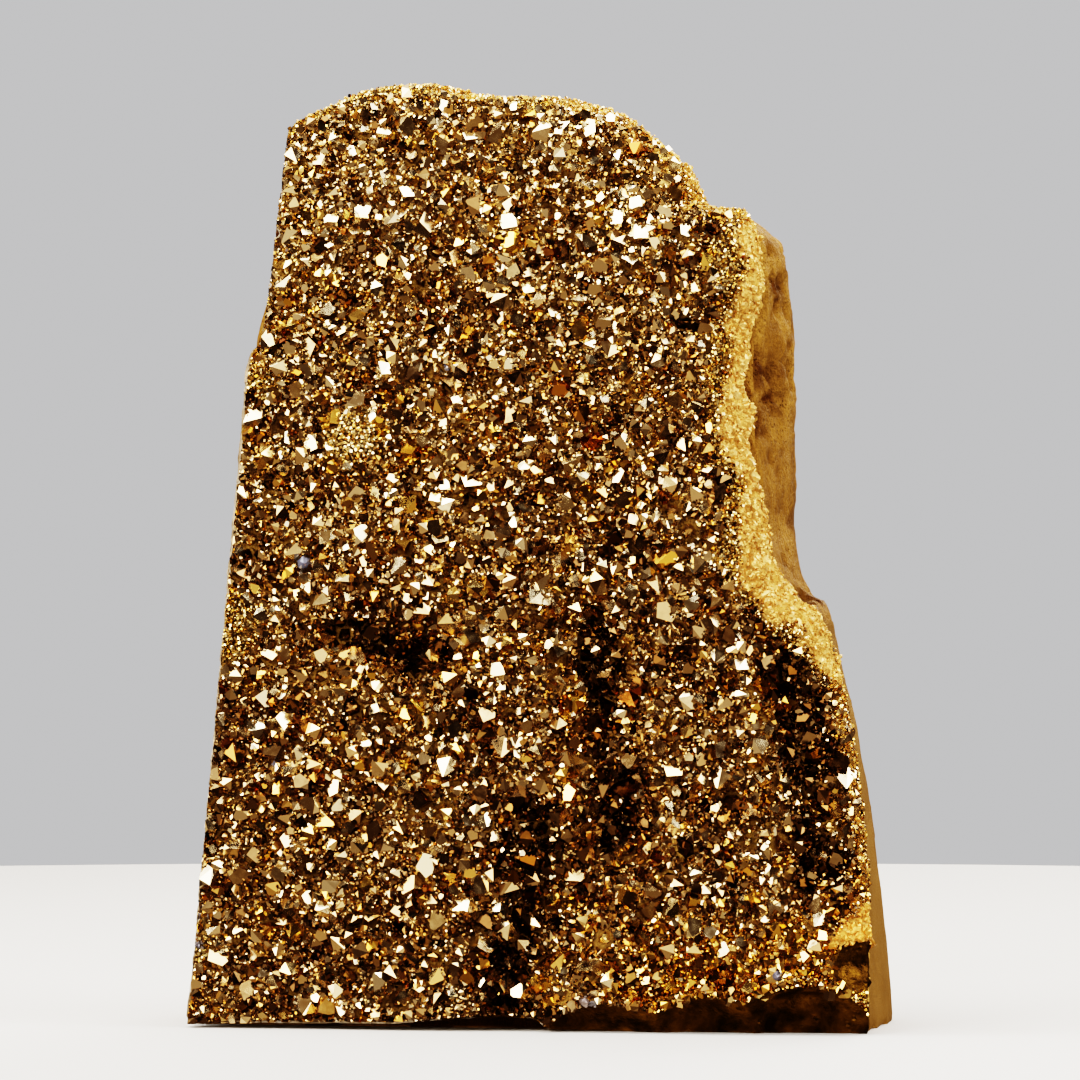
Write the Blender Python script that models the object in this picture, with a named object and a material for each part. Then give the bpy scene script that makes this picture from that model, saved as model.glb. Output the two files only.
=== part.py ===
# Gold aura amethyst druzy: a slab of geode wall that stands on its sawn base.
# Two bodies make it up: the host rock, and the crust of quartz points that grew on it.
# Metres, +Z up. The druzy face looks along -Y. The origin is the middle of the sawn base.

import math
import random

import bmesh
import bpy
from mathutils import Matrix, Vector, noise
from mathutils.geometry import delaunay_2d_cdt

MM = 0.001

# Driving dimensions
FACE_FRONT = -19.5 * MM  # where the druzy face meets the base, before its crystals
FACE_LEAN = 9.0 * MM  # how far the face leans back over the height
FACE_TWIST = -0.03  # the left side of the face stands a little further back
HEIGHT = 137.6 * MM
CRUST_THICK = 7.0 * MM  # quartz between the host rock and the foot of the crystals
CRUST_BACK = 14.0 * MM  # where the block of quartz ends before it is cut
BACK_RIM = 8.0 * MM  # where the rock's side walls turn into its back
BACK_BULGE_LOW = 14.0 * MM  # how far the back swells past the rim, low down
BACK_BULGE_HIGH = 6.5 * MM
BACK_ROUND = 17.0 * MM  # over which it rounds off towards the rim
GAP = 0.3 * MM  # between crust and rock
SET_BACK = 1.0 * MM  # how far the rock stands in from the crust's edge, just behind it

# Gentle waves of the druzy face, and of the surface where its crust meets the rock: size and height
WAVE_SIZE = 26.0 * MM
WAVE = 1.0 * MM
SMALL_WAVE_SIZE = 9.0 * MM
SMALL_WAVE = 0.4 * MM
CONTACT_SIZE = 17.0 * MM
CONTACT = 0.9 * MM

# Outline of the crystal crust from the front: x and z in millimetres, clockwise from the base's left corner
CRUST_OUTLINE = (
    (-49.6, 0.9), (-42.0, 97.0), (-41.4, 98.6), (-40.0, 99.6), (-39.0, 105.0), (-38.4, 111.0), (-36.8, 126.0),
    (-36.2, 131.3), (-34.3, 132.8), (-31.3, 133.9), (-28.8, 135.1), (-25.9, 136.3), (-22.1, 137.2),
    (-18.4, 137.6), (-13.2, 137.4), (-8.8, 136.3), (-4.3, 135.7), (4.5, 135.6), (10.4, 134.0), (14.1, 132.5),
    (18.5, 129.0), (23.0, 125.0), (24.7, 121.6), (25.5, 119.4), (28.9, 119.2), (31.0, 119.0), (32.8, 116.1),
    (33.8, 109.0), (33.4, 105.4), (31.8, 102.0), (31.8, 98.4), (31.1, 95.0), (31.1, 92.6), (32.3, 90.0),
    (32.3, 87.6), (31.5, 84.6), (32.9, 81.0), (33.7, 77.5), (35.0, 73.0), (35.2, 68.6), (37.2, 65.2),
    (39.5, 62.3), (42.0, 60.6), (43.6, 57.2), (45.3, 53.0), (46.8, 45.0), (47.8, 39.0), (48.6, 33.0),
    (49.2, 26.0), (49.6, 19.0), (49.9, 9.0), (50.0, 0.0), (12.0, 0.0), (3.7, 0.2), (2.0, 1.8), (-4.6, 2.1),
    (-11.2, 1.6), (-18.0, 1.0), (-32.6, 0.8),
)

# Outline of the rock's rim, behind the crust: it goes on below the base, where the saw cuts it off
ROCK_OUTLINE = (
    (-58.0, -22.0), (-50.0, 60.0), (-46.5, 97.0), (-43.0, 104.0), (-39.5, 112.0), (-38.0, 126.0),
    (-36.6, 131.8), (-34.0, 133.6), (-29.0, 135.8), (-22.4, 137.7), (-17.0, 137.8), (-10.0, 136.6), (-4.0, 135.2),
    (5.0, 134.4), (12.0, 132.2), (17.5, 128.4), (21.0, 124.4), (22.8, 120.9), (25.8, 120.1), (29.0, 119.9),
    (31.9, 118.0), (33.9, 116.1), (35.6, 113.0), (36.4, 108.6), (36.8, 102.0), (37.4, 94.6), (37.4, 85.8),
    (37.7, 77.0), (38.1, 68.0), (39.1, 62.8), (40.9, 62.1), (42.8, 56.2), (44.5, 49.0), (46.1, 43.0),
    (47.7, 34.0), (49.0, 25.3), (50.1, 13.5), (51.0, 3.2), (51.5, -3.0), (52.5, -22.0),
)
ROCK_CENTRE = Vector((-2.0 * MM, 56.0 * MM))  # the rock's rings close in on this point of the front view
SAW_LEFT_LOW = Vector((-50.0, 0.0)) * MM  # two points of the sawn left side
SAW_LEFT_HIGH = Vector((-42.0, 97.0)) * MM

# Long shallow hollows in the druzy face: both ends, half width and depth, in millimetres
HOLLOWS = (
    ((-27.0, 57.0), (-12.0, 55.5), 3.0, 2.0),
    ((10.0, 56.0), (15.0, 30.0), 6.0, 2.2),
    ((15.0, 30.0), (-1.0, 6.0), 5.0, 2.0),
    ((40.0, 52.0), (44.0, 20.0), 5.0, 2.4),
)
KNOB = ((-25.5, 86.0), 5.0, -1.1)  # a small dome of fine sugar crystals: middle, radius and depth

# The face rolls back where it runs out at the right and along the top
ROLL_WIDTH = 8.0 * MM
ROLL_DEPTH = 3.6 * MM
TOP_ROLL_WIDTH = 6.0 * MM
TOP_ROLL_DEPTH = 2.0 * MM

# Conchoidal chips along the lower front edge: middle and radii, in millimetres
CHIPS = (
    ((12.5, -24.0, -0.5), (12.0, 7.6, 5.4)),
    ((27.0, -23.5, -0.8), (11.0, 7.4, 6.4)),
    ((42.5, -23.0, 0.0), (13.0, 7.6, 7.0)),
    ((51.5, -21.5, 9.8), (6.4, 6.4, 4.6)),
)

# Spacing of the crystals
COARSE = 3.9 * MM
FINE = 2.7 * MM
FINE_BAND = 6.0 * MM
SUGAR = 2.1 * MM
UNEVEN = 0.24  # crystals stand up to this share nearer together or further apart
TRIES = 24000

# Height of a crystal over its feet as a share of its reach, and how far its tip leans
TIP_LOW = 0.75
TIP_HIGH = 1.15
TIP_LEAN = 0.34

# Relief of the rock: size of its swellings and lumps, and how far they stand out
SWELL_SIZE = 21.0 * MM
SWELL = 1.3 * MM
LUMP_SIZE = 13.0 * MM
LUMP = 3.6 * MM
WALL_RELIEF = 1.1 * MM
WALL_RELIEF_SIZE = 6.0 * MM
SAWN_SHARE = 0.25  # of that relief on the sawn lower right side
BACK_APART = 4.6 * MM  # spacing of the points of the back
WALL_STEPS = 13
WALL_POINTS = 124
WALL_FRONT = -30.0 * MM
WALL_BACK = 30.0 * MM

# Dents in the rock's right wall: middle, radius and depth, in millimetres
DENTS = (
    ((36.0, -3.0, 93.0), 7.0, 1.6),
    ((36.0, 2.0, 106.0), 5.0, 0.9),
    ((37.0, 0.0, 75.0), 6.0, 0.8),
)

# Every block and cutter reaches past the druzy's outline
LOW_CORNER = Vector((-64.0, -14.0)) * MM
HIGH_CORNER = Vector((66.0, 152.0)) * MM


def material(name, colour, roughness, metallic):
    made = bpy.data.materials.new(name)
    made.use_nodes = True
    shader = made.node_tree.nodes["Principled BSDF"]
    shader.inputs["Base Color"].default_value = (*colour, 1.0)
    shader.inputs["Roughness"].default_value = roughness
    shader.inputs["Metallic"].default_value = metallic
    return made


def add_object(name, mesh, finish):
    obj = bpy.data.objects.new(name, mesh)
    bpy.context.scene.collection.objects.link(obj)
    mesh.materials.append(finish)
    return obj


def add_cutter(name, mesh):
    obj = bpy.data.objects.new(name, mesh)
    bpy.context.scene.collection.objects.link(obj)
    obj.hide_render = True
    obj.display_type = "WIRE"
    return obj


def mesh_of(name, bm):
    mesh = bpy.data.meshes.new(name)
    bm.to_mesh(mesh)
    bm.free()
    return mesh


def boolean(obj, cutter, operation):
    modifier = obj.modifiers.new(f"{operation.lower()} {cutter.name}", "BOOLEAN")
    modifier.operation = operation
    modifier.solver = "EXACT"
    modifier.object = cutter


def smooth_step(t):
    t = min(max(t, 0.0), 1.0)
    return t * t * (3 - 2 * t)


def distance_to_segment(point, start, end):
    along = end - start
    share = min(max((point - start).dot(along) / along.length_squared, 0.0), 1.0)
    return (point - start - along * share).length


# The crust's right edge at a height (axis 0), or its top edge at a width (axis 1)
def edge_at(level, axis):
    points = [Vector(p) * MM for p in CRUST_OUTLINE]
    crossings = []
    for start, end in zip(points, points[1:]):
        low, high = sorted((start[1 - axis], end[1 - axis]))
        if low <= level <= high and low < high:
            share = (level - start[1 - axis]) / (end[1 - axis] - start[1 - axis])
            crossings.append(start[axis] + share * (end[axis] - start[axis]))
    return max(crossings)


def inside_right(x, z):
    return edge_at(min(max(z, 1 * MM), HEIGHT - 1 * MM), 0) - x


def below_top(x, z):
    return edge_at(min(max(x, -49 * MM), 49 * MM), 1) - z


# The smooth ground of the druzy face, as y
def face_ground(x, z):
    y = FACE_FRONT + FACE_LEAN * z / HEIGHT + FACE_TWIST * x
    y += WAVE * noise.noise(Vector((x, z, 0.0)) / WAVE_SIZE)
    return y + SMALL_WAVE * noise.noise(Vector((x, z, 0.4)) / SMALL_WAVE_SIZE)


def face(x, z):
    y = face_ground(x, z)
    point = Vector((x, z))
    for start, end, half_width, depth in HOLLOWS:
        away = distance_to_segment(point, Vector(start) * MM, Vector(end) * MM)
        y += depth * MM * smooth_step(1.6 - away / (half_width * MM))
    middle, radius, depth = KNOB
    away = (point - Vector(middle) * MM).length / (radius * MM)
    y += depth * MM * smooth_step(1.3 - away)
    y += ROLL_DEPTH * min(max(1 - inside_right(x, z) / ROLL_WIDTH, 0.0), 1.0) ** 2
    y += TOP_ROLL_DEPTH * min(max(1 - below_top(x, z) / TOP_ROLL_WIDTH, 0.0), 1.0) ** 2
    return y


# Where the crust meets the rock, as y
def interface(x, z):
    return face_ground(x, z) + CRUST_THICK + CONTACT * noise.noise(Vector((x, z, 3.0)) / CONTACT_SIZE)


# How closely the crystals stand at a point of the front view
def spacing(x, z):
    middle, radius, _ = KNOB
    if (Vector((x, z)) - Vector(middle) * MM).length < radius * MM:
        return SUGAR
    rim = min(inside_right(x, z), below_top(x, z) * 1.5)
    return FINE + (COARSE - FINE) * smooth_step(rim / FINE_BAND - 0.5)


# Points of the front view, at random but never nearer each other than the spacing at their place
def scatter(dice, apart_at, widest):
    grid = {}
    seeds = []
    for _ in range(TRIES):
        x, z = dice.uniform(LOW_CORNER.x, HIGH_CORNER.x), dice.uniform(LOW_CORNER.y, HIGH_CORNER.y)
        apart = apart_at(x, z) * dice.uniform(1 - UNEVEN, 1 + UNEVEN)
        column, row = math.floor(x / widest), math.floor(z / widest)
        near = [p for i in (-1, 0, 1) for j in (-1, 0, 1) for p in grid.get((column + i, row + j), ())]
        if all((p[0] - x) ** 2 + (p[1] - z) ** 2 > apart * apart for p in near):
            grid.setdefault((column, row), []).append((x, z))
            seeds.append(Vector((x, z)))
    points, _, triangles, *_ = delaunay_2d_cdt(seeds, [], [], 0, 1e-7)
    return points, triangles


# Closes a sheet of faces to a block with a flat end
def close_block(bm, end):
    pushed = bmesh.ops.extrude_edge_only(bm, edges=[e for e in bm.edges if e.is_boundary])
    for vert in pushed["geom"]:
        if isinstance(vert, bmesh.types.BMVert):
            vert.co.y = end
    bmesh.ops.holes_fill(bm, edges=[e for e in bm.edges if e.is_boundary])
    bmesh.ops.recalc_face_normals(bm, faces=bm.faces[:])


def circumcentre(a, b, c):
    d = 2 * (a.x * (b.y - c.y) + b.x * (c.y - a.y) + c.x * (a.y - b.y))
    x = (a.length_squared * (b.y - c.y) + b.length_squared * (c.y - a.y) + c.length_squared * (a.y - b.y)) / d
    y = (a.length_squared * (c.x - b.x) + b.length_squared * (a.x - c.x) + c.length_squared * (b.x - a.x)) / d
    return Vector((x, y))


# A block with a crystal point on each seed's own cell of ground: the crystals' feet meet in valleys
def crystal_block():
    dice = random.Random(7)
    points, triangles = scatter(dice, spacing, COARSE * (1 + UNEVEN))
    bm = bmesh.new()
    valley = []
    for triangle in triangles:
        centre = circumcentre(*(points[i] for i in triangle))
        y = face(centre.x, centre.y) + dice.uniform(-0.25, 0.35) * MM
        valley.append(bm.verts.new((centre.x, y, centre.y)))
    around = {i: [] for i in range(len(points))}
    for index, triangle in enumerate(triangles):
        for corner in triangle:
            around[corner].append(index)
    margin = 2 * COARSE
    for index, point in enumerate(points):
        inside_width = LOW_CORNER.x + margin < point.x < HIGH_CORNER.x - margin
        inside_height = LOW_CORNER.y + margin < point.y < HIGH_CORNER.y - margin
        if inside_width and inside_height:
            ring = [valley[t] for t in around[index]]
            ring.sort(key=lambda v: math.atan2(v.co.z - point.y, v.co.x - point.x))
            bm.faces.new(ring)
    stray = [v for v in bm.verts if not v.link_faces]
    bmesh.ops.delete(bm, geom=stray, context="VERTS")
    bmesh.ops.remove_doubles(bm, verts=bm.verts, dist=0.25 * MM)
    crystals = bmesh.ops.poke(bm, faces=bm.faces[:], center_mode="MEAN")
    for tip in crystals["verts"]:
        reach = sum(e.calc_length() for e in tip.link_edges) / len(tip.link_edges)
        tip.co.y -= reach * dice.uniform(TIP_LOW, TIP_HIGH)
        tip.co.x += reach * dice.uniform(-TIP_LEAN, TIP_LEAN)
        tip.co.z += reach * dice.uniform(-TIP_LEAN, TIP_LEAN)
    close_block(bm, CRUST_BACK)
    return mesh_of("crystal_crust", bm)


# The crust's outline as a prism along Y, which cuts the crystal block to shape
def outline_prism():
    bm = bmesh.new()
    front = [bm.verts.new((x * MM, -40 * MM, z * MM)) for x, z in CRUST_OUTLINE]
    flat = bm.faces.new(front)
    pushed = bmesh.ops.extrude_face_region(bm, geom=[flat])
    for vert in pushed["geom"]:
        if isinstance(vert, bmesh.types.BMVert):
            vert.co.y = 30 * MM
    bmesh.ops.recalc_face_normals(bm, faces=bm.faces[:])
    return mesh_of("outline_prism", bm)


# A block that starts between crust and rock: side 1 fills what lies behind, and -1 what lies in front
def interface_block(side):
    columns, rows = 16, 20
    bm = bmesh.new()
    grid = []
    for j in range(rows + 1):
        for i in range(columns + 1):
            x = LOW_CORNER.x + (HIGH_CORNER.x - LOW_CORNER.x) * i / columns
            z = LOW_CORNER.y + (HIGH_CORNER.y - LOW_CORNER.y) * j / rows
            grid.append(bm.verts.new((x, interface(x, z) - side * GAP / 2, z)))
    for j in range(rows):
        for i in range(columns):
            a = j * (columns + 1) + i
            b = a + columns + 1
            bm.faces.new((grid[a], grid[a + 1], grid[b + 1]))
            bm.faces.new((grid[a], grid[b + 1], grid[b]))
    close_block(bm, side * 60 * MM)
    return mesh_of("interface_block", bm)


# One conchoidal chip, as the ball that scoops it out
def chip_ball(middle, radii):
    bm = bmesh.new()
    bmesh.ops.create_icosphere(bm, subdivisions=3, radius=1.0)
    for vert in bm.verts:
        vert.co *= 1 + 0.06 * noise.noise(vert.co * 2.3)
    bm.transform(Matrix.Diagonal((*(r * MM for r in radii), 1.0)))
    bm.transform(Matrix.Translation(Vector(middle) * MM))
    return mesh_of("chip_ball", bm)


# Where a ray from the rock's centre leaves an outline, for the ray's angle
def reach_of(outline, angle):
    direction = Vector((math.cos(angle), math.sin(angle)))
    points = [Vector(p) * MM - ROCK_CENTRE for p in outline]
    reaches = [0.0]
    for start, end in zip(points, points[1:] + points[:1]):
        side = end - start
        slant = direction.cross(side)
        if slant != 0 and 0 <= start.cross(direction) / slant <= 1:
            reaches.append(start.cross(side) / slant)
    return max(reaches)


# The rock's side walls: rings that follow the crust's outline in front and the rock's own outline at the rim
def rock_walls():
    crust_sides = [p for p in CRUST_OUTLINE if p[1] > 2.5] + [(50.4, -22.0), (-58.0, -22.0)]
    angles = [math.tau * i / WALL_POINTS for i in range(WALL_POINTS)]
    bm = bmesh.new()
    rings = []
    for step in range(WALL_STEPS + 1):
        y = WALL_FRONT + (WALL_BACK - WALL_FRONT) * step / WALL_STEPS
        spread = smooth_step((y + 16 * MM) / (BACK_RIM + 16 * MM))
        ring = []
        for angle in angles:
            front = reach_of(crust_sides, angle) - SET_BACK
            reach = front + (reach_of(ROCK_OUTLINE, angle) - front) * spread
            x = ROCK_CENTRE.x + math.cos(angle) * reach
            z = ROCK_CENTRE.y + math.sin(angle) * reach
            sawn = smooth_step((x - 38 * MM) / (5 * MM))
            relief = noise.noise(Vector((x, y, z)) / WALL_RELIEF_SIZE)
            relief += noise.noise(Vector((x, y, z)) / SWELL_SIZE)
            reach += WALL_RELIEF * relief * (1 - sawn * (1 - SAWN_SHARE)) * (1 - 0.7 * spread)
            for middle, radius, depth in DENTS:
                away = (Vector((x, y, z)) - Vector(middle) * MM).length / (radius * MM)
                reach -= depth * MM * smooth_step(1.2 - away)
            x = ROCK_CENTRE.x + math.cos(angle) * reach
            z = ROCK_CENTRE.y + math.sin(angle) * reach
            ring.append(bm.verts.new((x, y, z)))
        rings.append(ring)
    for ring, following in zip(rings, rings[1:]):
        for i in range(WALL_POINTS):
            j = (i + 1) % WALL_POINTS
            bm.faces.new((ring[i], ring[j], following[j], following[i]))
    bm.faces.new(rings[0])
    bm.faces.new(rings[-1])
    bmesh.ops.recalc_face_normals(bm, faces=bm.faces[:])
    saw_cut(bm, Vector((0.0, 0.0, 0.0)), Vector((0.0, 0.0, -1.0)))
    slope = SAW_LEFT_HIGH - SAW_LEFT_LOW
    left = Vector((SAW_LEFT_LOW.x, 0.0, SAW_LEFT_LOW.y))
    saw_cut(bm, left, Vector((-slope.y, 0.0, slope.x)).normalized())
    bmesh.ops.triangulate(bm, faces=bm.faces[:])
    return mesh_of("matrix", bm)


# The rock's natural back, as y: it swells past the rim, with lumps
def back(x, z):
    points = [Vector(p) * MM for p in ROCK_OUTLINE]
    point = Vector((x, z))
    out = point - ROCK_CENTRE
    inside = 0.0
    if out.length < reach_of(ROCK_OUTLINE, math.atan2(out.y, out.x)):
        inside = min(distance_to_segment(point, start, end) for start, end in zip(points, points[1:]))
    rounding = math.sqrt(1 - (1 - min(inside / BACK_ROUND, 1.0)) ** 2)
    height = min(max(z / HEIGHT, 0.0), 1.0)
    y = BACK_RIM + (BACK_BULGE_LOW + (BACK_BULGE_HIGH - BACK_BULGE_LOW) * height) * rounding
    near = noise.voronoi(Vector((x, 0.0, z)) / LUMP_SIZE)[0]
    y += LUMP * (0.5 - near[0]) * rounding
    return y + SWELL * noise.noise(Vector((x, 0.0, z)) / SWELL_SIZE)


# A block in front of the rock's back, which cuts the walls off there
def back_block():
    points, triangles = scatter(random.Random(23), lambda x, z: BACK_APART, BACK_APART * (1 + UNEVEN))
    bm = bmesh.new()
    verts = [bm.verts.new((p.x, back(p.x, p.y), p.y)) for p in points]
    for triangle in triangles:
        bm.faces.new([verts[i] for i in triangle])
    close_block(bm, -45 * MM)
    return mesh_of("back_block", bm)


# A saw cut: what lies past the plane goes, and the cut is closed flat
def saw_cut(bm, point, outward):
    geometry = bm.verts[:] + bm.edges[:] + bm.faces[:]
    bmesh.ops.bisect_plane(bm, geom=geometry, plane_co=point, plane_no=outward, clear_outer=True)
    bmesh.ops.holes_fill(bm, edges=[e for e in bm.edges if e.is_boundary])
    bmesh.ops.recalc_face_normals(bm, faces=bm.faces[:])


def main():
    for obj in list(bpy.data.objects):
        bpy.data.objects.remove(obj)
    gold_crystal = material("gold_aura_quartz", (0.62, 0.38, 0.11), 0.16, 1.0)
    gold_rock = material("gold_dusted_rock", (0.46, 0.29, 0.10), 0.55, 0.45)

    crust = add_object("crystal_crust", crystal_block(), gold_crystal)
    rock = add_object("matrix", rock_walls(), gold_rock)
    boolean(crust, add_cutter("cut_outline", outline_prism()), "INTERSECT")
    boolean(crust, add_cutter("cut_behind_crust", interface_block(1)), "DIFFERENCE")
    boolean(rock, add_cutter("cut_back", back_block()), "INTERSECT")
    boolean(rock, add_cutter("cut_before_rock", interface_block(-1)), "DIFFERENCE")
    for number, (middle, radii) in enumerate(CHIPS, 1):
        ball = add_cutter(f"cut_chip_{number}", chip_ball(middle, radii))
        boolean(crust, ball, "DIFFERENCE")
        boolean(rock, ball, "DIFFERENCE")


main()
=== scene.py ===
import math
import random

import bpy
import numpy as np
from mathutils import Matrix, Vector, noise
from mathutils.bvhtree import BVHTree
from mathutils.kdtree import KDTree


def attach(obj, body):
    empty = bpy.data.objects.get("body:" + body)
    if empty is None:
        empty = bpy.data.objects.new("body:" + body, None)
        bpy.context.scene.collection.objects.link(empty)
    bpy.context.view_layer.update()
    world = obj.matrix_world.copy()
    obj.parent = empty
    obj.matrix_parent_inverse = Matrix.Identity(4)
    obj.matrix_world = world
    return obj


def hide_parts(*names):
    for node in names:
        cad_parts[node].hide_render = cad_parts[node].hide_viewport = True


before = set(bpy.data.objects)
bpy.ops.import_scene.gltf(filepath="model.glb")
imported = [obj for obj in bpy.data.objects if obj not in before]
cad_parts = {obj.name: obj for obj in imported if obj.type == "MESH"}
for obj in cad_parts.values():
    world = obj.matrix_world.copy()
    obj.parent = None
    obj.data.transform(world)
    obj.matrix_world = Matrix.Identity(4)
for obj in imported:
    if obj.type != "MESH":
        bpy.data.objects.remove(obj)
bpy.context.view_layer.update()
mm = 0.001


# small tools

def selectOnly(piece):
    if bpy.context.object and bpy.context.object.mode != "OBJECT":
        bpy.ops.object.mode_set(mode="OBJECT")
    bpy.ops.object.select_all(action="DESELECT")
    piece.select_set(True)
    bpy.context.view_layer.objects.active = piece


def applyModifiers(piece):
    selectOnly(piece)
    for modifier in list(piece.modifiers):
        bpy.ops.object.modifier_apply(modifier=modifier.name)


def weld(piece, distance):
    selectOnly(piece)
    bpy.ops.object.mode_set(mode="EDIT")
    bpy.ops.mesh.select_all(action="SELECT")
    bpy.ops.mesh.remove_doubles(threshold=distance)
    bpy.ops.object.mode_set(mode="OBJECT")


def copyOfNode(nodeName, pieceName):
    piece = bpy.data.objects.new(pieceName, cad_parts[nodeName].data.copy())
    bpy.context.collection.objects.link(piece)
    weld(piece, 0.00001)
    piece.data.materials.clear()
    return piece


def remesh(piece, voxel):
    modifier = piece.modifiers.new("evenGrain", "REMESH")
    modifier.mode = "VOXEL"
    modifier.voxel_size = voxel
    applyModifiers(piece)


def vertexPlaces(mesh):
    # in millimetres
    places = np.empty(len(mesh.vertices) * 3, dtype=np.float32)
    mesh.vertices.foreach_get("co", places)
    return places.reshape(-1, 3) / mm


def vertexNormals(mesh):
    normals = np.empty(len(mesh.vertices) * 3, dtype=np.float32)
    mesh.vertex_normals.foreach_get("vector", normals)
    return normals.reshape(-1, 3)


def setPlaces(mesh, places):
    # nothing goes below the base
    places[:, 2] = np.maximum(places[:, 2], 0.0)
    mesh.vertices.foreach_set("co", np.ascontiguousarray(places * mm, dtype=np.float32).ravel())
    mesh.update()


def smoothStep(t):
    t = min(max(t, 0.0), 1.0)
    return t * t * (3 - 2 * t)


def fade(distance, size, reach=1.5):
    # 1 well inside a patch of this size, 0 past its soft edge
    return smoothStep(reach - distance / size)


def ripple(plan, here):
    size, height = plan
    return height * noise.noise(here / size)


# camera: level, a little to the right of the druzy face

cameraView = {"azimuth": 8.0, "distance": 0.95, "height": 0.071, "lens": 215.0, "sensor": 36.0}


def addCamera():
    turn = math.radians(cameraView["azimuth"])
    place = (
        cameraView["distance"] * math.sin(turn),
        -cameraView["distance"] * math.cos(turn),
        cameraView["height"],
    )
    bpy.ops.object.camera_add(location=place, rotation=(math.radians(90), 0, turn))
    camera = bpy.context.object
    camera.name = "photoCamera"
    camera.data.lens = cameraView["lens"]
    camera.data.sensor_width = cameraView["sensor"]
    bpy.context.scene.camera = camera


addCamera()
print("camera placed")


# the ground of the druzy face, as the solids have it

face = {
    "front": -19.5, "lean": 9.0, "twist": -0.03, "height": 137.6,
    "wave": (26.0, 1.0), "smallWave": (9.0, 0.4),
    "rollRight": (8.0, 3.6), "rollTop": (6.0, 2.0),
    "hollows": [
        ((-27.0, 57.0), (-12.0, 55.5), 3.0, 2.0),
        ((10.0, 56.0), (15.0, 30.0), 6.0, 2.2),
        ((15.0, 30.0), (-1.0, 6.0), 5.0, 2.0),
        ((40.0, 52.0), (44.0, 20.0), 5.0, 2.4),
    ],
    "knob": ((-25.5, 86.0), 5.0, -1.1),
    "rindRagged": (3.5, 0.7),
    "rind": [
        (0.0, 0.0), (8.0, 0.3), (11.5, 3.2), (13.5, 4.0), (16.0, 2.8), (18.0, 1.0), (20.0, 0.0),
        (49.0, 0.0), (52.0, 1.6), (56.0, 4.0), (60.0, 6.2), (64.0, 5.0), (70.0, 3.6), (76.0, 2.6),
        (81.0, 2.0), (89.0, 2.7), (95.0, 2.0), (101.0, 2.0), (111.6, 2.6), (116.0, 2.2), (118.0, 0.0),
    ],
    "foot": [
        (-50.0, 0.2), (-32.6, 0.8), (-18.0, 1.0), (-11.2, 1.6), (-4.6, 2.1), (2.0, 1.8), (3.7, 0.2),
        (12.0, 0.0),
    ],
    "edge": [
        (-49.6, 0.9), (-42.0, 97.0), (-41.4, 98.6), (-40.0, 99.6), (-39.0, 105.0), (-38.4, 111.0),
        (-36.8, 126.0), (-36.2, 131.3), (-34.3, 132.8), (-31.3, 133.9), (-28.8, 135.1), (-25.9, 136.3),
        (-22.1, 137.2), (-18.4, 137.6), (-13.2, 137.4), (-8.8, 136.3), (-4.3, 135.7), (4.5, 135.6),
        (10.4, 134.0), (14.1, 132.5), (18.5, 129.0), (23.0, 125.0), (24.7, 121.6), (25.5, 119.4),
        (28.9, 119.2), (31.0, 119.0), (32.8, 116.1), (33.8, 109.0), (33.4, 105.4), (31.8, 102.0),
        (31.8, 98.4), (31.1, 95.0), (31.1, 92.6), (32.3, 90.0), (32.3, 87.6), (31.5, 84.6), (32.9, 81.0),
        (33.7, 77.5), (35.0, 73.0), (35.2, 68.6), (37.2, 65.2), (39.5, 62.3), (42.0, 60.6), (43.6, 57.2),
        (45.3, 53.0), (46.8, 45.0), (47.8, 39.0), (48.6, 33.0), (49.2, 26.0), (49.6, 19.0), (49.9, 9.0),
        (50.0, 0.0),
    ],
}
edgePoints = np.array(face["edge"])
# the outline runs up the left side with its first points, over its highest one and down the right side
sideCount, highest = 8, 13


def furthestCrossing(line, value):
    # a line of points (known, wanted): the largest wanted where known has this value
    best = -99.0
    for (known0, wanted0), (known1, wanted1) in zip(line, line[1:]):
        if min(known0, known1) <= value <= max(known0, known1) and known0 != known1:
            best = max(best, wanted0 + (wanted1 - wanted0) * (value - known0) / (known1 - known0))
    return best


def rightEdge(z):
    return furthestCrossing(edgePoints[highest:, ::-1], min(max(z, 1.0), face["height"] - 1.0))


def topEdge(x):
    return furthestCrossing(edgePoints, min(max(x, -49.0), 49.0))


def leftEdge(z):
    left = face["edge"][:highest + 1]
    for (x0, z0), (x1, z1) in zip(left, left[1:]):
        if z <= z1:
            break
    return x0 + (x1 - x0) * min(max((z - z0) / max(z1 - z0, 0.1), 0.0), 1.0)


# both edges are looked up often, so they are kept in steps of a quarter millimetre
stepsPerMm, firstRight, firstTop = 4, -60, -300
rightTable = [rightEdge(i / stepsPerMm) for i in range(firstRight, 640)]
topTable = [topEdge(i / stepsPerMm) for i in range(firstTop, 301)]


def fromTable(table, first, value):
    return table[min(max(int(round(value * stepsPerMm)) - first, 0), len(table) - 1)]


def insideRight(x, z):
    return fromTable(rightTable, firstRight, z) - x


def belowTop(x, z):
    return fromTable(topTable, firstTop, x) - z


def insideLeft(x, z):
    return x - leftEdge(z)


def footEdge(x):
    # the crust ends a little above the base on the left, and reaches it on the right
    return np.interp(x, *zip(*face["foot"]))


def rindAt(x, z):
    # how wide the smooth lumpy rind is, in from the right edge
    width = float(np.interp(z, *zip(*face["rind"])))
    return width * (1 + ripple(face["rindRagged"], Vector((x, 9.0, z))))


def awayFromLine(x, z, start, end):
    alongX, alongZ = end[0] - start[0], end[1] - start[1]
    share = ((x - start[0]) * alongX + (z - start[1]) * alongZ) / (alongX**2 + alongZ**2)
    share = min(max(share, 0.0), 1.0)
    return math.hypot(x - start[0] - alongX * share, z - start[1] - alongZ * share)


def fromKnob(x, z):
    middle = face["knob"][0]
    return math.hypot(x - middle[0], z - middle[1])


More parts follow.
